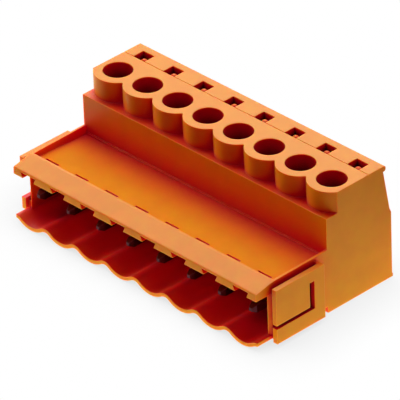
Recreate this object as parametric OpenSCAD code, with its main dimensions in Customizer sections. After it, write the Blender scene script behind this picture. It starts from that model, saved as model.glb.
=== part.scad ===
// Pluggable terminal block: a moulded housing with one pin contact, one clamping yoke
// and one screw per pole. Millimetres, +Z up, wires enter from +Y, the mating face is -Y.
// The origin is under the middle of the whole block, on the plane that it stands on.

/* [Poles] */
// number of poles, each with a contact, a yoke and a screw
pole_count = 8; // [2:1:12]
// distance between neighbouring poles
pitch = 5.08; // [5:0.01:7.62]

/* [Housing] */
// height from the bottom to the top face
housing_h = 15.6; // [15:0.1:18]
// depth of the clamping body, from its front wall to its back face
body_d = 10.7; // [10.5:0.02:13]
// how far the lid and the scalloped floor stand out in front of the front wall
shroud_reach = 11.52; // [10:0.02:14]
// distance of the screw axes behind the front wall
screw_inset = 3.56; // [3.4:0.02:4]
// radius of the round screw bosses on the top
boss_r = 2.98; // [2.6:0.02:3.2]
// height of the bosses above the ledge
boss_h = 2.82; // [1.5:0.02:4]
// thickness of the front wall that holds the contacts
front_wall_t = 1.36; // [1:0.02:1.5]

/* [Shroud] */
// height of the lid's top at the front wall
lid_top_z = 8.6; // [8.3:0.05:9.5]
// height of the lid from its underside to its top
lid_h = 1.6; // [1.4:0.05:1.8]
// depth of the recess in the lid at the front wall
recess_depth = 1.05; // [0.5:0.05:1.15]
// thickness of the scalloped floor
floor_t = 0.45; // [0.3:0.05:0.8]
// radius of each scallop, on its underside
scallop_r = 3.38; // [3:0.02:4.5]
// width of the mouths of the dovetail channels under the lid's front bar
channel_w = 1.92; // [1.2:0.02:2.4]

/* [End latches] */
// distance from a latch plate's outer face to the end of the shroud
latch_stand = 1.16; // [0.9:0.02:1.4]
// thickness of the latch plates
latch_t = 0.65; // [0.4:0.05:0.7]
// width of the slot that frees each latch tongue
latch_slot_w = 0.79; // [0.4:0.01:1]

/* [Clamps] */
// diameter of the screw wells
well_d = 3.7; // [3.6:0.05:4]
// diameter of the screw's shank
screw_d = 2.9; // [2.4:0.05:3]
// width of the clamp chambers and wire entries
chamber_w = 4.3; // [4.2:0.05:4.4]
// side of the square contact pins, and thickness of the bars behind them
pin_w = 1; // [0.8:0.05:1.1]
// travel of the yokes from open to closed
yoke_travel = 2.05; // [1:0.05:2.1]

/* [Hidden] */
$fn = 64;

// ways that fits and cuts are stated
fit_gap = 0.05;
press_gap = 0.02;
cut = 0.5;

// block
end_trim = 0.04;
half_len = pole_count * pitch / 2 - end_trim;
total_d = body_d + shroud_reach;
front_y = -total_d / 2;
back_y = total_d / 2;
wall_y = back_y - body_d;
screw_y = wall_y + screw_inset;

// upper body, with a lip over a slanted back
ledge_z = housing_h - boss_h;
valley_in = 1.72;
valley_y = screw_y - valley_in;
top_inset = 0.9;
top_back_y = back_y - top_inset;
lip_h = 0.73;
lip_round_r = 0.3;
lip_over = 0.42;
slant_inset = 0.38;
slant_foot_y = back_y - slant_inset;
slant_foot_z = 9.5;
back_ledge_z = 8.92;
foot_lip = 0.12;
foot_lip_h = 0.4;

// test openings with the small round nose inside each
test_w = 1.93;
test_d = 1.64;
test_behind = 4.28;
test_y = screw_y + test_behind;
test_depth = 4;
nose_r = 0.5;
nose_down = 0.4;
seam_w = 0.1;
seam_depth = 0.08;
seam_y = test_y - test_d / 2 - seam_w;

// lid: a sunken panel behind a front bar, between two thin end rims
ridge_drop = 0.1;
bar_slope_d = 2.78;
bar_top_d = 0.3;
ridge_y = front_y + bar_slope_d;
ridge_z = lid_top_z - ridge_drop;
bar_back_y = ridge_y + bar_top_d;
lid_front_drop = 0.5;
lid_front_z = ridge_z - lid_front_drop;
lid_edge_r = 0.2;
lid_under_z = lid_top_z - lid_h;
lid_under_drop = 0.3;
recess_front_rise = 0.3;
recess_back_z = lid_top_z - recess_depth;
recess_front_z = recess_back_z + recess_front_rise;
end_rim = 0.24;
end_rim_draft = 0.3;
rim_x = half_len - end_rim;
rim_foot_x = rim_x - end_rim_draft;
wall_ledge_d = 0.2;
wall_ledge_h = 0.2;

// dovetail channels and the narrow windows above their back ends
channel_h = 0.75;
channel_fall = 0.3;
channel_under_w = 0.35;
window_w = 2.2;
window_d = 0.45;
window_behind = 0.8;
window_y = bar_back_y + window_behind;
channel_back_y = window_y + window_d / 2;

// scalloped floor: arcs joined by rounded crests
crest_half_w = 0.75;
scallop_low_z = 0.1;
arc_mid_r = scallop_r - floor_t / 2;
crest_mid_r = arc_mid_r * ((pitch / 2) / (pitch / 2 - crest_half_w) - 1);
arc_z = scallop_low_z + scallop_r;
crest_z = arc_z - sqrt(pow(arc_mid_r + crest_mid_r, 2) - pow(pitch / 2, 2));

// side walls, which thin to an edge at the front
side_wall_t = 0.42;
side_wall_edge = 0.06;
side_wall_in = 2.18;
side_wall_y = front_y + side_wall_in;
side_wall_low_z = crest_z + crest_mid_r;
side_wall_root_x = half_len - side_wall_t / 2;

// end latches
latch_ahead = 0.1;
latch_short = 1.62;
latch_front_y = side_wall_y - latch_ahead;
latch_back_y = wall_y - latch_short;
latch_face_x = half_len + latch_stand;
latch_below_lid = 0.6;
latch_top_z = lid_top_z - latch_below_lid;
latch_low_z = 0.75;
latch_root_d = 0.5;
latch_base_h = 1.2;
latch_base_in = 0.5;
latch_slot_in = 5.39;
latch_slot_down = 1.49;
latch_slot_up = 1.99;
latch_slot_h = 0.48;
latch_slot_y = latch_front_y + latch_slot_in;
latch_slot_top_z = latch_top_z - latch_slot_down;
latch_slot_low_z = latch_low_z + latch_slot_up;

// notch in the front of the left latch plate
notch_d = 1.4;
notch_up = 1.6;
notch_down = 0.9;
notch_low_z = latch_low_z + notch_up;
notch_top_z = latch_top_z - notch_down;

// clamp chambers
chamber_z = 0.65;
chamber_top_z = 8.5;
chamber_y = wall_y + front_wall_t;
entry_h = 6.35;

// clamping yokes
yoke_w = chamber_w - 2 * fit_gap;
yoke_d = 3.7;
yoke_h = 5.6;
yoke_floor = 0.7;
yoke_window_h = 3.4;
yoke_side = 0.55;
yoke_round_r = 0.4;
window_round_r = 0.3;
yoke_z = chamber_z + fit_gap;
yoke_back_gap = 0.2;
chamber_back_y = screw_y + yoke_d / 2 + yoke_back_gap;

// contacts
pin_z = 4.18;
pin_tip_in = 1.48;
pin_tip_y = front_y + pin_tip_in;
pin_taper = 0.6;
pin_tip_share = 0.45;
pin_tip_w = pin_w * pin_tip_share;
bar_side_gap = 0.1;
bar_w = yoke_w - 2 * yoke_side - 2 * bar_side_gap;
bar_past_yoke = 0.75;
bar_end_y = screw_y + yoke_d / 2 + bar_past_yoke;

// screws
head_side_gap = 0.1;
head_d = well_d - 2 * head_side_gap;
head_h = 1.4;
head_lift = 0.25;
head_z = yoke_z + yoke_h + yoke_travel + head_lift;
slot_w = 0.7;
slot_depth = 0.8;
screw_edge = 0.15;
screw_tip_z = pin_z + pin_w / 2 + fit_gap;
tip_taper = 0.4;
yoke_bore_r = screw_d / 2 + fit_gap;

orange = [0.94, 0.45, 0.08];
tin = [0.78, 0.77, 0.75];
steel = [0.7, 0.72, 0.74];
brass = [0.8, 0.66, 0.36];

// middle of pole k, counted from 1
function pole_x(k) = (k - (pole_count + 1) / 2) * pitch;

// a profile drawn as (y, z), pulled along X
module along_x(x0, x1) {
    translate([x0, 0, 0])
        rotate([90, 0, 90])
            linear_extrude(x1 - x0)
                children();
}

// a profile drawn as (x, z), pulled along Y
module along_y(y0, y1) {
    translate([0, y1, 0])
        rotate([90, 0, 0])
            linear_extrude(y1 - y0)
                children();
}

// a block from one corner to the other
module block(low, high) {
    translate(low)
        cube(high - low);
}

module at_poles() {
    for (k = [1:pole_count])
        translate([pole_x(k), 0, 0])
            children();
}

module at_both_ends() {
    children();
    mirror([1, 0, 0])
        children();
}

// a rectangle with round corners, centred in x and standing on z = 0
module rounded_rect(w, h, r) {
    translate([-w / 2, r])
        square([w, h - 2 * r]);
    translate([-w / 2 + r, 0])
        square([w - 2 * r, h]);
    for (x = [-w / 2 + r, w / 2 - r], z = [r, h - r])
        translate([x, z])
            circle(r);
}

// ---- housing ----

// side profile of the clamping body, without its bosses
module body_profile() {
    polygon([
        [wall_y, 0],
        [back_y, 0],
        [back_y, foot_lip_h],
        [back_y - foot_lip, foot_lip_h + foot_lip],
        [back_y - foot_lip, back_ledge_z],
        [slant_foot_y, slant_foot_z],
        [top_back_y - lip_over, housing_h - lip_h],
        [top_back_y - lip_round_r, housing_h - lip_h],
        [top_back_y, housing_h - lip_h + lip_round_r],
        [top_back_y, housing_h - lip_round_r],
        [top_back_y - lip_round_r, housing_h],
        [valley_y, housing_h],
        [valley_y, ledge_z],
        [wall_y, ledge_z]
    ]);
    translate([top_back_y - lip_round_r, housing_h - lip_round_r])
        circle(lip_round_r);
    translate([top_back_y - lip_round_r, housing_h - lip_h + lip_round_r])
        circle(lip_round_r);
}

module body_block() {
    along_x(-half_len, half_len)
        body_profile();
    intersection() {
        at_poles()
            translate([0, screw_y, ledge_z - cut])
                cylinder(r = boss_r, h = boss_h + cut);
        block([-half_len, wall_y, ledge_z - cut], [half_len, back_y, housing_h]);
    }
}

// side profile of the lid, with the bar that slopes down to a rounded front edge
module lid_profile() {
    polygon([
        [wall_y + cut, lid_under_z - lid_under_drop],
        [wall_y, lid_under_z - lid_under_drop],
        [front_y, lid_under_z],
        [front_y, lid_front_z - lid_edge_r],
        [front_y + lid_edge_r, lid_front_z],
        [ridge_y, ridge_z],
        [wall_y, lid_top_z],
        [wall_y + cut, lid_top_z]
    ]);
    translate([front_y + lid_edge_r, lid_front_z - lid_edge_r])
        circle(lid_edge_r);
}

// the sunken panel: its floor rises to the front, and its end walls lean outwards
module lid_recess() {
    intersection() {
        along_x(-half_len, half_len)
            polygon([
                [wall_y, recess_back_z],
                [wall_y, lid_top_z + cut],
                [bar_back_y, lid_top_z + cut],
                [bar_back_y, recess_front_z]
            ]);
        along_y(front_y, back_y)
            polygon([
                [-rim_foot_x, recess_back_z],
                [rim_foot_x, recess_back_z],
                [rim_x, lid_top_z],
                [rim_x, lid_top_z + cut],
                [-rim_x, lid_top_z + cut],
                [-rim_x, lid_top_z]
            ]);
    }
}

// low step along the foot of the front wall, inside the recess
module wall_step() {
    block(
        [-rim_foot_x, wall_y - wall_ledge_d, recess_back_z - wall_ledge_h],
        [rim_foot_x, wall_y + cut, recess_back_z + wall_ledge_h]
    );
}

// dovetail channel for coding pieces, with the window above its back end
module coding_channel() {
    mouth_x = channel_w / 2;
    root_x = mouth_x + channel_under_w;
    intersection() {
        along_x(-root_x, root_x)
            polygon([
                [front_y - cut, lid_under_z - cut],
                [front_y - cut, lid_under_z + channel_h],
                [channel_back_y, lid_under_z + channel_h - channel_fall],
                [channel_back_y, lid_under_z - cut]
            ]);
        along_y(front_y - cut, channel_back_y)
            polygon([
                [-mouth_x, lid_under_z - cut],
                [mouth_x, lid_under_z - cut],
                [mouth_x, lid_under_z],
                [root_x, lid_under_z + channel_h],
                [-root_x, lid_under_z + channel_h],
                [-mouth_x, lid_under_z]
            ]);
    }
    block(
        [-window_w / 2, window_y - window_d / 2, lid_under_z],
        [window_w / 2, channel_back_y, lid_top_z]
    );
}

module lid() {
    difference() {
        union() {
            difference() {
                along_x(-half_len, half_len)
                    lid_profile();
                lid_recess();
            }
            wall_step();
        }
        at_poles()
            coding_channel();
    }
}

module ring(r, t) {
    difference() {
        circle(r + t / 2);
        circle(r - t / 2);
    }
}

// one scallop, from its lowest line to where it meets the crests beside it
module scallop_arc() {
    intersection() {
        translate([0, arc_z])
            ring(arc_mid_r, floor_t);
        polygon([
            [0, arc_z],
            [pitch / 2, crest_z],
            [-pitch / 2, crest_z]
        ]);
    }
}

// rounded crest between two scallops
module scallop_crest() {
    intersection() {
        translate([0, crest_z])
            ring(crest_mid_r, floor_t);
        polygon([
            [0, crest_z],
            [pitch / 2, arc_z],
            [-pitch / 2, arc_z]
        ]);
    }
}

module scalloped_floor() {
    intersection() {
        along_y(front_y, wall_y + cut)
            union() {
                for (k = [1:pole_count])
                    translate([pole_x(k), 0])
                        scallop_arc();
                for (k = [0:pole_count])
                    translate([pole_x(k) + pitch / 2, 0])
                        scallop_crest();
            }
        block([-half_len, front_y, 0], [half_len, wall_y + cut, arc_z]);
    }
}

module side_wall() {
    inner_x = half_len - side_wall_t;
    translate([0, 0, side_wall_low_z])
        linear_extrude(lid_under_z + lid_under_drop - side_wall_low_z)
            polygon([
                [inner_x, side_wall_y],
                [inner_x + side_wall_edge, side_wall_y],
                [half_len, side_wall_y + side_wall_t - side_wall_edge],
                [half_len, wall_y + cut],
                [inner_x, wall_y + cut]
            ]);
}

// cut through the end latch from y0 to y1 and from z0 to z1
module latch_cut(y0, y1, z0, z1) {
    block(
        [latch_face_x - latch_t - fit_gap, y0, z0],
        [latch_face_x + cut, y1, z1]
    );
}

// plate beyond the end of the shroud; an L-shaped slot frees its front as a springy tongue
module latch_plate() {
    slot_back_y = latch_slot_y + latch_slot_w;
    difference() {
        union() {
            block(
                [latch_face_x - latch_t, latch_front_y, latch_low_z],
                [latch_face_x, latch_back_y, latch_top_z]
            );
            block(
                [side_wall_root_x, latch_back_y - latch_root_d, latch_low_z],
                [latch_face_x, latch_back_y, latch_top_z]
            );
            block(
                [side_wall_root_x, latch_front_y + latch_base_in, latch_low_z],
                [latch_face_x, latch_back_y, latch_low_z + latch_base_h]
            );
        }
        latch_cut(latch_slot_y, slot_back_y, latch_slot_low_z, latch_slot_top_z);
        latch_cut(latch_front_y - cut, slot_back_y, latch_slot_low_z, latch_slot_low_z + latch_slot_h);
    }
}

// room of one clamp: chamber, wire entry, screw well and the hole of the pin
module clamp_room() {
    block(
        [-chamber_w / 2, chamber_y, chamber_z],
        [chamber_w / 2, chamber_back_y, chamber_top_z]
    );
    block(
        [-chamber_w / 2, chamber_back_y - cut, chamber_z],
        [chamber_w / 2, back_y + cut, chamber_z + entry_h]
    );
    translate([0, screw_y, chamber_top_z - cut])
        cylinder(d = well_d, h = housing_h - chamber_top_z + 2 * cut);
    block(
        [-pin_w / 2 - press_gap, wall_y - cut, pin_z - pin_w / 2 - press_gap],
        [pin_w / 2 + press_gap, chamber_y + cut, pin_z + pin_w / 2 + press_gap]
    );
}

module test_opening() {
    block(
        [-test_w / 2, test_y - test_d / 2, housing_h - test_depth],
        [test_w / 2, test_y + test_d / 2, housing_h + cut]
    );
}

// small post with a round top, standing in a test opening
module test_nose() {
    translate([0, test_y, housing_h - test_depth - cut])
        rotate_extrude()
            intersection() {
                union() {
                    square([nose_r, test_depth + cut - nose_down - nose_r]);
                    translate([0, test_depth + cut - nose_down - nose_r])
                        circle(nose_r);
                }
                square([nose_r, test_depth + cut]);
            }
}

module housing() {
    color(orange) {
        difference() {
            union() {
                body_block();
                lid();
                scalloped_floor();
                at_both_ends()
                    side_wall();
                latch_plate();
                mirror([1, 0, 0])
                    difference() {
                        latch_plate();
                        latch_cut(latch_front_y - cut, latch_front_y + notch_d, notch_low_z, notch_top_z);
                    }
            }
            at_poles() {
                clamp_room();
                test_opening();
            }
            block(
                [-half_len - cut, seam_y, housing_h - seam_depth],
                [half_len + cut, seam_y + seam_w, housing_h + cut]
            );
        }
        at_poles()
            test_nose();
    }
}

// ---- contacts, yokes and screws ----

// flat contact: a square pin with a tip tapered on four sides, and a wider bar in the clamp
module contact_pin(k) {
    color(tin)
        translate([pole_x(k), 0, pin_z])
            intersection() {
                translate([0, 0, -pin_w / 2])
                    linear_extrude(pin_w)
                        polygon([
                            [-pin_tip_w / 2, pin_tip_y],
                            [pin_tip_w / 2, pin_tip_y],
                            [pin_w / 2, pin_tip_y + pin_taper],
                            [pin_w / 2, chamber_y],
                            [bar_w / 2, chamber_y],
                            [bar_w / 2, bar_end_y],
                            [-bar_w / 2, bar_end_y],
                            [-bar_w / 2, chamber_y],
                            [-pin_w / 2, chamber_y],
                            [-pin_w / 2, pin_tip_y + pin_taper]
                        ]);
                along_x(-bar_w / 2, bar_w / 2)
                    polygon([
                        [pin_tip_y, -pin_tip_w / 2],
                        [pin_tip_y + pin_taper, -pin_w / 2],
                        [bar_end_y, -pin_w / 2],
                        [bar_end_y, pin_w / 2],
                        [pin_tip_y + pin_taper, pin_w / 2],
                        [pin_tip_y, pin_tip_w / 2]
                    ]);
            }
}

// open frame that the screw lifts against the contact's bar, with the wire between them
module clamping_yoke(k) {
    color(brass)
        translate([pole_x(k), 0, yoke_z])
            difference() {
                along_y(screw_y - yoke_d / 2, screw_y + yoke_d / 2)
                    difference() {
                        rounded_rect(yoke_w, yoke_h, yoke_round_r);
                        translate([0, yoke_floor])
                            rounded_rect(yoke_w - 2 * yoke_side, yoke_window_h, window_round_r);
                    }
                translate([0, screw_y, yoke_floor + yoke_window_h - cut])
                    cylinder(r = yoke_bore_r, h = yoke_h);
            }
}

// slotted screw that bears on the contact's bar
module clamp_screw(k) {
    color(steel)
        translate([pole_x(k), screw_y, 0])
            difference() {
                rotate_extrude()
                    polygon([
                        [0, screw_tip_z],
                        [screw_d / 2 - tip_taper, screw_tip_z],
                        [screw_d / 2, screw_tip_z + tip_taper],
                        [screw_d / 2, head_z],
                        [head_d / 2, head_z],
                        [head_d / 2, head_z + head_h - screw_edge],
                        [head_d / 2 - screw_edge, head_z + head_h],
                        [0, head_z + head_h]
                    ]);
                block(
                    [-head_d, -slot_w / 2, head_z + head_h - slot_depth],
                    [head_d, slot_w / 2, head_z + head_h + cut]
                );
            }
}

housing();
for (k = [1:pole_count]) {
    contact_pin(k);
    clamping_yoke(k);
    clamp_screw(k);
}
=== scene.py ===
import bpy
import math
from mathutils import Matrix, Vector


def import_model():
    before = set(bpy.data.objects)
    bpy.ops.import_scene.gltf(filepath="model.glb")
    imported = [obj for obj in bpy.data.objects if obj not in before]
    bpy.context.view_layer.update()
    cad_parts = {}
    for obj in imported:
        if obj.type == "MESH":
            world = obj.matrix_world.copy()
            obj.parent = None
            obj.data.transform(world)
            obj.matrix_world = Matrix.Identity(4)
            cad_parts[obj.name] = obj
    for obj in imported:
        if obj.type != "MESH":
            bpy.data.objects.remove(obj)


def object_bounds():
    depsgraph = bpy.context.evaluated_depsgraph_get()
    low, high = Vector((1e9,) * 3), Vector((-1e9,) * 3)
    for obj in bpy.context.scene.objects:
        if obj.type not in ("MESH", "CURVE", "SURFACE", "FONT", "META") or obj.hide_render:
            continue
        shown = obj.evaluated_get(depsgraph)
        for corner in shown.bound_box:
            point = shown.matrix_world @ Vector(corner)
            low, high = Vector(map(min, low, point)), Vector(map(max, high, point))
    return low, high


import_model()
cad_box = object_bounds()

MM = 0.001
POLES = 8


def linear(r, g, b):
    """An sRGB colour, 0 to 255, as linear values."""
    def channel(v):
        v /= 255
        return v / 12.92 if v <= 0.04045 else ((v + 0.055) / 1.055) ** 2.4
    return tuple(channel(v) for v in (r, g, b)) + (1.0,)


# ---- values: orange plastic ----

# painted shade: the tone at each share of openness, from dark crimson in deep recesses to golden on open
# faces
PAINTED_SHADE_TONES = (
    (0.04, linear(120, 14, 50)),
    (0.2, linear(222, 30, 66)),
    (0.5, linear(214, 28, 30)),
    (0.72, linear(236, 112, 6)),
    (0.92, linear(226, 155, 2)),
)
RECESS_REACH = 8 * MM
OCCLUSION_SAMPLES = 8

# faces that look up inside the shroud count as less open, and so get more painted shade
SHROUD_TOP = 5 * MM
SHROUD_SHADE = 0.22

# a thin band under the top face counts as open and so gets little painted shade, so that its shallow
# line stays faint
RIM_DEPTH = 0.12 * MM
RIM_OPENNESS = 0.85

# painted dark shade: above this height, deep points turn to a dark tone between these shares of openness
WELL_LOW = 9.0 * MM
WELL_OPENNESS = (0.27, 0.13)
WELL_PAINTED_SHADE = linear(36, 4, 18)

# edges catch light, painted as a lighter tone: where the rounded normal leaves the face's own, and the
# point is open
EDGE_RADIUS = 0.12 * MM
EDGE_AGREEMENT = (0.99, 0.85)
EDGE_OPENNESS = (0.45, 0.7)
EDGE_PAINTED_HIGHLIGHT = linear(255, 190, 50)

CLOUD_SCALE = 420.0
CLOUD_LOW = (0.96, 0.92, 0.84, 1.0)
CLOUD_HIGH = (1.0, 1.0, 1.0, 1.0)

# the floor of the lid, within this band of heights (middle, half width), is matte; the rest is satin
PANEL_BAND = (7.7 * MM, 0.2 * MM)
SATIN = 0.4
MATTE = 1.0
SPECULAR = 0.18
PLASTIC_GRAIN = 9000.0
PLASTIC_GRAIN_DEPTH = 0.006 * MM

# light travels far inside the plastic in red, and little in green and blue
GLOW_DEPTH = 0.6 * MM
GLOW_RADII = (1.0, 0.12, 0.03)

# ---- values: metals, and all materials ----

METAL_MOTTLE = 1500.0
METAL_EDGE = 0.06 * MM
METAL_GRAIN_DEPTH = 0.004 * MM
MOTTLE_DETAIL = 4.0
MOTTLE_LOW = 0.35
MOTTLE_HIGH = 0.65
GRAIN_DETAIL = 6.0
GRAIN_STRENGTH = 0.5
BEVEL_SAMPLES = 6

# ---- values: floor, light and camera ----

WHITE = (1, 1, 1, 1)
FLOOR_SIZE = 1.2
FLOOR_DROP = 0.02 * MM

# the table sends light up in full to the first distance, and none past the second; X counts shortened
LIT_TABLE = (18 * MM, 36 * MM)
TABLE_STRETCH = 0.35
TABLE_LEVEL = 1.4
TABLE_COLOUR = (1.0, 0.96, 0.5, 1.0)
# painted shadow on the table: how far the occlusion reaches, and the lowest level of the white
SHADOW_REACH = 8 * MM
SHADOW_LEVEL = 0.72

SHADE_COLOUR = (1.0, 0.05, 0.5, 1.0)
SHADE_LEVEL = 0.25

MIDDLE = Vector((0, 0, 8 * MM))
LAMP_DISTANCE = 0.5

CAMERA_LENS = 524.0
CAMERA_SENSOR = 36.0
CAMERA_CLIP = (0.01, 10.0)
CAMERA_PLACE = Vector((419.42, -393.51, 370.51)) * MM
CAMERA_TURN = (57.678, 1.804, 45.699)


# ---- node helpers ----

def feed(tree, socket, value):
    """Give a socket a plain value, or a link from another socket."""
    if isinstance(value, bpy.types.NodeSocket):
        tree.links.new(value, socket)
    else:
        socket.default_value = value


def add_node(tree, kind, **sockets):
    """A new node, where each named socket gets a value or a link."""
    node = tree.nodes.new(kind)
    for key, value in sockets.items():
        feed(tree, node.inputs[key.replace("_", " ")], value)
    return node


def math_node(tree, operation, *values):
    """The result of a Math node."""
    node = tree.nodes.new("ShaderNodeMath")
    node.operation = operation
    for socket, value in zip(node.inputs, values):
        feed(tree, socket, value)
    return node.outputs["Value"]


def vector_node(tree, operation, *values):
    """A Vector Math node."""
    node = tree.nodes.new("ShaderNodeVectorMath")
    node.operation = operation
    for socket, value in zip(node.inputs, values):
        feed(tree, socket, value)
    return node


def map_range(tree, value, source, target=(0.0, 1.0), interpolation="LINEAR"):
    """The value, carried from the source range to the target range and held inside it."""
    node = add_node(
        tree, "ShaderNodeMapRange", Value=value,
        From_Min=source[0], From_Max=source[1], To_Min=target[0], To_Max=target[1])
    node.interpolation_type = interpolation
    return node.outputs["Result"]


def mix(tree, blend_type, factor, first, second):
    """Two colours, blended."""
    node = add_node(tree, "ShaderNodeMixRGB", Fac=factor, Color1=first, Color2=second)
    node.blend_type = blend_type
    return node.outputs["Color"]


def colour_ramp(tree, value, stops):
    """The value as a colour, between (position, colour) stops from low to high."""
    ramp = add_node(tree, "ShaderNodeValToRGB", Fac=value)
    elements = ramp.color_ramp.elements
    elements.remove(elements[1])
    elements[0].position, elements[0].color = stops[0]
    for position, colour in stops[1:]:
        elements.new(position).color = colour
    return ramp.outputs["Color"]


def occlusion(tree, reach, only_local):
    """The share of the surround that a point sees within reach."""
    node = add_node(tree, "ShaderNodeAmbientOcclusion", Distance=reach)
    node.samples = OCCLUSION_SAMPLES
    node.only_local = only_local
    return node.outputs["AO"]


def noise(tree, scale, detail):
    """Noise in the object's own coordinates."""
    place = tree.nodes.new("ShaderNodeTexCoord")
    node = add_node(
        tree, "ShaderNodeTexNoise", Vector=place.outputs["Object"], Scale=scale, Detail=detail)
    return node.outputs["Fac"]


def mottled(tree, low, high, scale):
    """A slow variation between two close tones."""
    stops = ((MOTTLE_LOW, low), (MOTTLE_HIGH, high))
    return colour_ramp(tree, noise(tree, scale, MOTTLE_DETAIL), stops)


def rounded_normal(tree, radius):
    """A normal that rounds the edges; the mesh keeps its shape."""
    node = add_node(tree, "ShaderNodeBevel", Radius=radius)
    node.samples = BEVEL_SAMPLES
    return node.outputs["Normal"]


def grain(tree, shader, normal, scale, depth):
    """Fine relief on top of the rounded normal, in metres of depth."""
    relief = add_node(
        tree, "ShaderNodeBump", Strength=GRAIN_STRENGTH, Distance=depth,
        Height=noise(tree, scale, GRAIN_DETAIL), Normal=normal)
    feed(tree, shader.inputs["Normal"], relief.outputs["Normal"])


# ---- materials ----

def new_material(name):
    """A node material whose Principled shader is returned with its tree."""
    material = bpy.data.materials.new(name)
    material.use_nodes = True
    tree = material.node_tree
    return material, tree, tree.nodes["Principled BSDF"]


def height_and_facing(tree):
    """The height above the table, and how far the face looks up, from 0 to 1."""
    place = tree.nodes.new("ShaderNodeTexCoord")
    axes = add_node(tree, "ShaderNodeSeparateXYZ", Vector=place.outputs["Object"])
    facing = add_node(tree, "ShaderNodeSeparateXYZ", Vector=place.outputs["Normal"])
    return axes.outputs["Z"], math_node(tree, "MAXIMUM", facing.outputs["Z"], 0.0)


def openness(tree):
    """How open each point counts, which sets its painted shade: 1 in the open, and less in recesses and
    in the shroud.
    """
    height, upward = height_and_facing(tree)
    low = math_node(tree, "LESS_THAN", height, SHROUD_TOP)
    shroud = math_node(tree, "MULTIPLY", math_node(tree, "MULTIPLY", low, upward), SHROUD_SHADE)
    shaded = math_node(tree, "SUBTRACT", occlusion(tree, RECESS_REACH, only_local=True), shroud)
    rim = math_node(tree, "GREATER_THAN", height, cad_box[1][2] - RIM_DEPTH)
    return math_node(tree, "MAXIMUM", shaded, math_node(tree, "MULTIPLY", rim, RIM_OPENNESS))


def well_shade_mask(tree, open_share):
    """Where the painted dark shade goes: 1 at deep points above WELL_LOW, as in the wells and test
    openings, and 0 in the open.
    """
    height, _ = height_and_facing(tree)
    high = math_node(tree, "GREATER_THAN", height, WELL_LOW)
    return math_node(tree, "MULTIPLY", high, map_range(tree, open_share, WELL_OPENNESS))


def edge_highlight_mask(tree, normal, open_share):
    """Where the painted highlight goes: 1 on open rounded edges, and 0 elsewhere."""
    face = tree.nodes.new("ShaderNodeNewGeometry")
    agreement = vector_node(tree, "DOT_PRODUCT", face.outputs["Normal"], normal)
    edge = map_range(tree, agreement.outputs["Value"], EDGE_AGREEMENT)
    return math_node(tree, "MULTIPLY", edge, map_range(tree, open_share, EDGE_OPENNESS))


def plastic_roughness(tree):
    """Satin all over, and matte on the floor of the lid."""
    height, upward = height_and_facing(tree)
    panel = math_node(tree, "COMPARE", height, *PANEL_BAND)
    matte_share = math_node(tree, "MULTIPLY", panel, upward)
    return map_range(tree, matte_share, (0.0, 1.0), (SATIN, MATTE))


def orange_plastic():
    """Satin, translucent plastic with painted shade keyed on openness: golden on open faces, crimson in
    recesses, dark deep in the wells, and a painted highlight on open edges.
    """
    material, tree, shader = new_material("orange_plastic")
    normal = rounded_normal(tree, EDGE_RADIUS)
    open_share = openness(tree)
    tone = colour_ramp(tree, open_share, PAINTED_SHADE_TONES)
    tone = mix(tree, "MIX", well_shade_mask(tree, open_share), tone, WELL_PAINTED_SHADE)
    tone = mix(tree, "MIX", edge_highlight_mask(tree, normal, open_share), tone, EDGE_PAINTED_HIGHLIGHT)
    clouds = mottled(tree, CLOUD_LOW, CLOUD_HIGH, CLOUD_SCALE)
    feed(tree, shader.inputs["Base Color"], mix(tree, "MULTIPLY", 1.0, tone, clouds))
    feed(tree, shader.inputs["Roughness"], plastic_roughness(tree))
    shader.inputs["Subsurface Weight"].default_value = 1.0
    shader.inputs["Subsurface Radius"].default_value = GLOW_RADII
    shader.inputs["Subsurface Scale"].default_value = GLOW_DEPTH
    shader.inputs["Specular IOR Level"].default_value = SPECULAR
    grain(tree, shader, normal, PLASTIC_GRAIN, PLASTIC_GRAIN_DEPTH)
    return material


def metal(name, low, high, roughness, grain_scale):
    """Plated metal, mottled between two tones, with soft edges and a fine grain."""
    material, tree, shader = new_material(name)
    feed(tree, shader.inputs["Base Color"], mottled(tree, low, high, METAL_MOTTLE))
    shader.inputs["Metallic"].default_value = 1.0
    shader.inputs["Roughness"].default_value = roughness
    grain(tree, shader, rounded_normal(tree, METAL_EDGE), grain_scale, METAL_GRAIN_DEPTH)
    return material


def dress(node, material):
    """Give a CAD node its material."""
    mesh = bpy.data.objects[node].data
    mesh.materials.clear()
    mesh.materials.append(material)


def dress_all():
    """One plastic for the housing, and one metal for each kind of inner piece."""
    plastic = orange_plastic()
    # the pins' tin gets a dark red tone: painted shade and a painted red reflection of the shroud round
    # them; tin itself is silver grey
    tin_with_painted_shade = metal(
        "tinned_contact", linear(70, 28, 32), linear(90, 40, 44), roughness=0.25, grain_scale=4000.0)
    brass = metal(
        "plated_brass", linear(200, 192, 165), linear(212, 204, 178), roughness=0.35, grain_scale=3000.0)
    steel = metal(
        "plated_steel", linear(190, 192, 195), linear(204, 206, 208), roughness=0.3, grain_scale=5000.0)
    dress("housing", plastic)
    for k in range(1, POLES + 1):
        dress(f"contact_pin_{k}", tin_with_painted_shade)
        dress(f"clamping_yoke_{k}", brass)
        dress(f"clamp_screw_{k}", steel)


# ---- floor, light and camera ----

def backdrop_rays(tree):
    """1 for the rays that see the white backdrop, and 0 for those that only carry light."""
    path = tree.nodes.new("ShaderNodeLightPath")
    mirrored = math_node(tree, "MAXIMUM", path.outputs["Is Camera Ray"], path.outputs["Is Glossy Ray"])
    return math_node(tree, "MAXIMUM", mirrored, path.outputs["Is Transmission Ray"])


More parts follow.
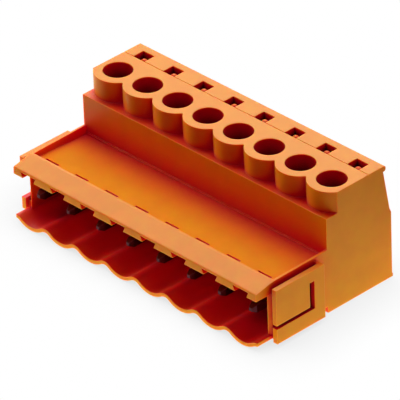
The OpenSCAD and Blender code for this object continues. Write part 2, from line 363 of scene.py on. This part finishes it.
def white_where_seen(tree, hidden, output, kind, level=1.0):
    """Show white at the level to backdrop rays, and the hidden shader to all others."""
    white = add_node(tree, kind, Color=WHITE, Strength=level)
    choice = add_node(tree, "ShaderNodeMixShader", Fac=backdrop_rays(tree))
    feed(tree, choice.inputs[1], hidden.outputs[0])
    feed(tree, choice.inputs[2], white.outputs[0])
    feed(tree, output.inputs["Surface"], choice.outputs["Shader"])


def table_light(tree):
    """The light that the table sends up: full close round the block, and none further out."""
    place = tree.nodes.new("ShaderNodeTexCoord")
    stretched = vector_node(tree, "MULTIPLY", place.outputs["Object"], (TABLE_STRETCH, 1.0, 1.0))
    distance = vector_node(tree, "LENGTH", stretched.outputs["Vector"])
    return map_range(tree, distance.outputs["Value"], LIT_TABLE, (TABLE_LEVEL, 0.0), "SMOOTHSTEP")


def contact_shadow(tree):
    """Painted shadow from occlusion: the level of the table's white, a little lower where the block
    stands over it.
    """
    seen = occlusion(tree, SHADOW_REACH, only_local=False)
    return map_range(tree, seen, (0.0, 1.0), (SHADOW_LEVEL, 1.0))


def floor():
    """A white table with a faint painted shadow round the block."""
    bpy.ops.mesh.primitive_plane_add(size=FLOOR_SIZE)
    plane = bpy.context.object
    plane.name = "floor"
    plane.location = (0, 0, cad_box[0][2] - FLOOR_DROP)
    material, tree, shader = new_material("pale_floor")
    tree.nodes.remove(shader)
    glow = add_node(tree, "ShaderNodeEmission", Color=TABLE_COLOUR, Strength=table_light(tree))
    output = tree.nodes["Material Output"]
    white_where_seen(tree, glow, output, "ShaderNodeEmission", contact_shadow(tree))
    plane.data.materials.append(material)


def world():
    """A dim red light for the shaded sides, behind the white that is seen."""
    sky = bpy.data.worlds.new("sky")
    bpy.context.scene.world = sky
    sky.use_nodes = True
    tree = sky.node_tree
    dim = tree.nodes["Background"]
    dim.inputs["Color"].default_value = SHADE_COLOUR
    dim.inputs["Strength"].default_value = SHADE_LEVEL
    white_where_seen(tree, dim, tree.nodes["World Output"], "ShaderNodeBackground")


def soft_box(name, direction, size, power, colour):
    """A square lamp that stands in a direction from the block's middle and faces it."""
    data = bpy.data.lights.new(name, "AREA")
    data.shape = "SQUARE"
    data.size = size
    data.energy = power
    data.color = colour
    lamp = bpy.data.objects.new(name, data)
    bpy.context.collection.objects.link(lamp)
    toward = Vector(direction).normalized()
    lamp.location = MIDDLE + toward * LAMP_DISTANCE
    lamp.rotation_euler = toward.to_track_quat("Z", "Y").to_euler()


def camera():
    """A long lens, from the front and right, above the block."""
    data = bpy.data.cameras.new("camera")
    data.lens = CAMERA_LENS
    data.sensor_width = CAMERA_SENSOR
    data.clip_start, data.clip_end = CAMERA_CLIP
    cam = bpy.data.objects.new("camera", data)
    bpy.context.collection.objects.link(cam)
    cam.location = CAMERA_PLACE
    cam.rotation_euler = [math.radians(angle) for angle in CAMERA_TURN]
    bpy.context.scene.camera = cam


dress_all()
floor()
world()
soft_box("key", (-0.5, 0.55, 0.9), size=0.6, power=3.7, colour=(1.0, 1.0, 0.96))
soft_box("side", (-1.0, -0.17, 0.1), size=0.2, power=2.0, colour=(1.0, 0.88, 0.5))
camera()
bpy.context.scene.view_settings.view_transform = "Standard"
